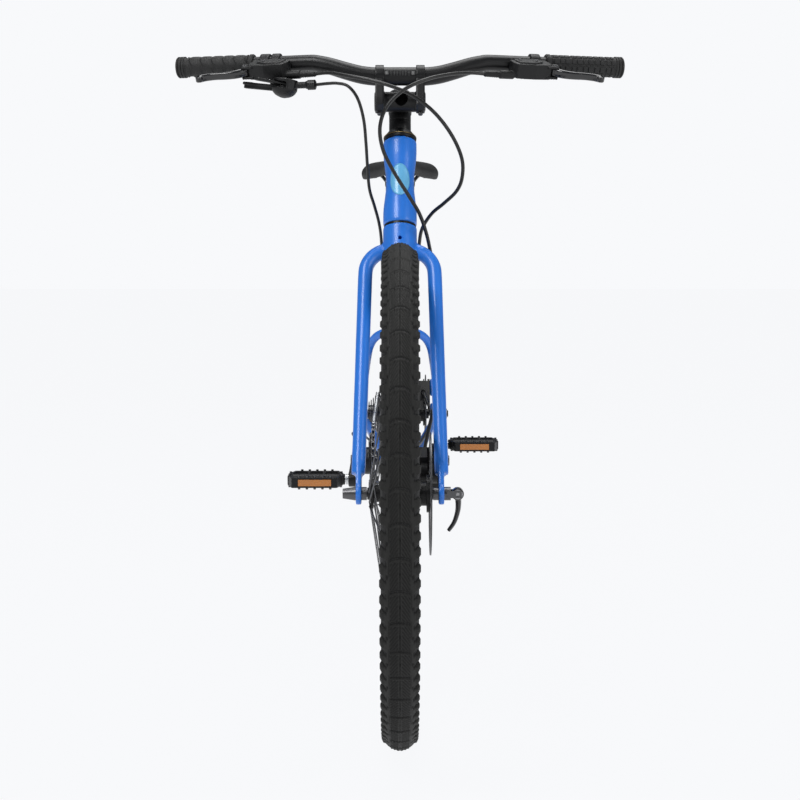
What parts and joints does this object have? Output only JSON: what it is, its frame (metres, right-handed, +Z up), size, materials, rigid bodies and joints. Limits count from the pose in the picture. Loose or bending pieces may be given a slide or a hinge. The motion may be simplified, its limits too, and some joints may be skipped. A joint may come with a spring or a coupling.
{
  "type": "bicycle",
  "caption": "Upright city bicycle with a rigid fork, riser handlebar, hydraulic disc brakes, treaded tyres, a chain drive with derailleur and quick-release wheels.",
  "frame": {"origin": "on the ground under the bicycle, midway between the wheel axles and on the centre plane", "axes": "+Z up, the bicycle faces -Y, its left side is +X"},
  "size_m": [0.6402, 1.696, 0.9189],
  "materials": {
    "painted_frame": "satin blue enamel",
    "satin_black_metal": "satin black paint",
    "black_plastic": "moulded matte black plastic",
    "gloss_black": "gloss black enamel on the lever blades",
    "tyre_rubber": "matte black rubber",
    "grip_rubber": "matte black rubber",
    "bare_steel": "bare zinc-plated and stainless steel",
    "dark_steel": "dark phosphated steel",
    "saddle_cover": "matte black synthetic leather",
    "amber_plastic": "clear amber prismatic reflector",
    "hose": "smooth black hose"
  },
  "bodies": {
    "frame": {"head_tube": "painted_frame", "top_tube": "painted_frame", "down_tube": "painted_frame", "seat_tube": "painted_frame", "bottom_bracket_shell": "painted_frame", "chainstays": "painted_frame", "seatstays": "painted_frame", "rear_dropouts": "painted_frame", "seat_collar": "satin_black_metal", "headset_bearings": "bare_steel", "bottom_bracket_cups": "satin_black_metal", "rear_caliper": "satin_black_metal", "rear_derailleur": "black_plastic", "chain": "dark_steel", "rear_brake_hose": "hose", "shift_housing": "hose", "rear_axle": "bare_steel"},
    "seat": {"seatpost": "satin_black_metal", "saddle_rails": "bare_steel", "saddle": "saddle_cover"},
    "steering": {"fork": "painted_frame", "headset_cover": "satin_black_metal", "stem": "satin_black_metal", "stem_caps": "satin_black_metal", "stem_bolts": "dark_steel", "handlebar": "satin_black_metal", "grips": "grip_rubber", "brake_body_left": "black_plastic", "brake_body_right": "black_plastic", "shifter_body": "black_plastic", "front_caliper": "satin_black_metal", "front_brake_hose": "hose", "front_axle": "bare_steel"},
    "brake_lever_left": {"brake_lever_left": "gloss_black"},
    "brake_lever_right": {"brake_lever_right": "gloss_black"},
    "shift_lever_main": {"shift_lever_main": "black_plastic"},
    "shift_lever_release": {"shift_lever_release": "black_plastic"},
    "front_quick_release": {"front_qr_lever": "gloss_black"},
    "rear_quick_release": {"rear_qr_lever": "gloss_black"},
    "front_wheel": {"front_tyre": "tyre_rubber", "front_rim": "satin_black_metal", "front_spokes": "bare_steel", "front_hub": "satin_black_metal", "front_rotor": "bare_steel"},
    "rear_wheel": {"rear_tyre": "tyre_rubber", "rear_rim": "satin_black_metal", "rear_spokes": "bare_steel", "rear_hub": "satin_black_metal", "rear_rotor": "bare_steel"},
    "cassette": {"cassette": "dark_steel"},
    "crankset": {"crank_right": "satin_black_metal", "crank_left": "satin_black_metal", "chainring": "satin_black_metal", "pedal_spindles": "bare_steel"},
    "pedal_right": {"pedal_right": "black_plastic", "pedal_reflectors_right": "amber_plastic"},
    "pedal_left": {"pedal_left": "black_plastic", "pedal_reflectors_left": "amber_plastic"},
    "guide_pulley": {"guide_pulley": "black_plastic"},
    "tension_pulley": {"tension_pulley": "black_plastic"}
  },
  "joints": [
    {"name": "steering", "type": "hinge", "parent": "frame", "child": "steering", "pos_m": [0, -0.32874, 0.73181], "axis": [0, 0.342, 0.9397], "range_deg": [-50, 50], "deforming": ["rear_brake_hose", "shift_housing"]},
    {"name": "seatpost_slide", "type": "slide", "parent": "frame", "child": "seat", "axis": [0, 0.2924, 0.9563], "range_m": [-0.07, 0.05]},
    {"name": "front_wheel_spin", "type": "hinge", "parent": "steering", "child": "front_wheel", "pos_m": [0, -0.524, 0.324], "axis": [1, 0, 0], "continuous": true},
    {"name": "rear_wheel_spin", "type": "hinge", "parent": "frame", "child": "rear_wheel", "pos_m": [0, 0.524, 0.324], "axis": [1, 0, 0], "continuous": true},
    {"name": "crank_spin", "type": "hinge", "parent": "frame", "child": "crankset", "pos_m": [0, 0.098, 0.284], "axis": [1, 0, 0], "continuous": true},
    {"name": "cassette_spin", "type": "hinge", "parent": "frame", "child": "cassette", "pos_m": [-0.046, 0.524, 0.324], "axis": [1, 0, 0], "continuous": true},
    {"name": "guide_pulley_spin", "type": "hinge", "parent": "frame", "child": "guide_pulley", "pos_m": [-0.046, 0.522, 0.23], "axis": [1, 0, 0], "continuous": true},
    {"name": "tension_pulley_spin", "type": "hinge", "parent": "frame", "child": "tension_pulley", "pos_m": [-0.046, 0.494, 0.174], "axis": [1, 0, 0], "continuous": true},
    {"name": "pedal_right_spin", "type": "hinge", "parent": "crankset", "child": "pedal_right", "pos_m": [-0.137, -0.06677, 0.27536], "axis": [1, 0, 0], "continuous": true},
    {"name": "pedal_left_spin", "type": "hinge", "parent": "crankset", "child": "pedal_left", "pos_m": [0.137, 0.26277, 0.29264], "axis": [1, 0, 0], "continuous": true},
    {"name": "brake_left", "type": "hinge", "parent": "steering", "child": "brake_lever_left", "pos_m": [0.21649, -0.33694, 0.88982], "axis": [0.0948, -0.444, 0.891], "range_deg": [0, 18], "stiffness_Nm_per_rad": 2, "springref_deg": -17.19},
    {"name": "brake_right", "type": "hinge", "parent": "steering", "child": "brake_lever_right", "pos_m": [-0.21649, -0.33694, 0.88982], "axis": [0.0948, 0.444, -0.891], "range_deg": [0, 18], "stiffness_Nm_per_rad": 2, "springref_deg": -17.19},
    {"name": "shift_main", "type": "hinge", "parent": "steering", "child": "shift_lever_main", "pos_m": [-0.16105, -0.34847, 0.86573], "axis": [0.1484, -0.0301, 0.9885], "range_deg": [0, 12], "stiffness_Nm_per_rad": 1, "springref_deg": -17.19},
    {"name": "shift_release", "type": "hinge", "parent": "steering", "child": "shift_lever_release", "pos_m": [-0.16105, -0.34847, 0.86573], "axis": [-0.1484, 0.0301, -0.9885], "range_deg": [0, 10], "stiffness_Nm_per_rad": 1, "springref_deg": -17.19},
    {"name": "front_quick_release", "type": "hinge", "parent": "steering", "child": "front_quick_release", "pos_m": [0.075, -0.524, 0.324], "axis": [0, -1, 0], "range_deg": [0, 170]},
    {"name": "rear_quick_release", "type": "hinge", "parent": "frame", "child": "rear_quick_release", "pos_m": [0.091, 0.524, 0.324], "axis": [0, 0.3746, 0.9272], "range_deg": [0, 170]}
  ],
  "couplings": [
    {"joint": "cassette_spin", "follows": "crank_spin", "ratio": 1.7},
    {"joint": "guide_pulley_spin", "follows": "crank_spin", "ratio": -3.0909},
    {"joint": "tension_pulley_spin", "follows": "crank_spin", "ratio": 3.0909}
  ]
}
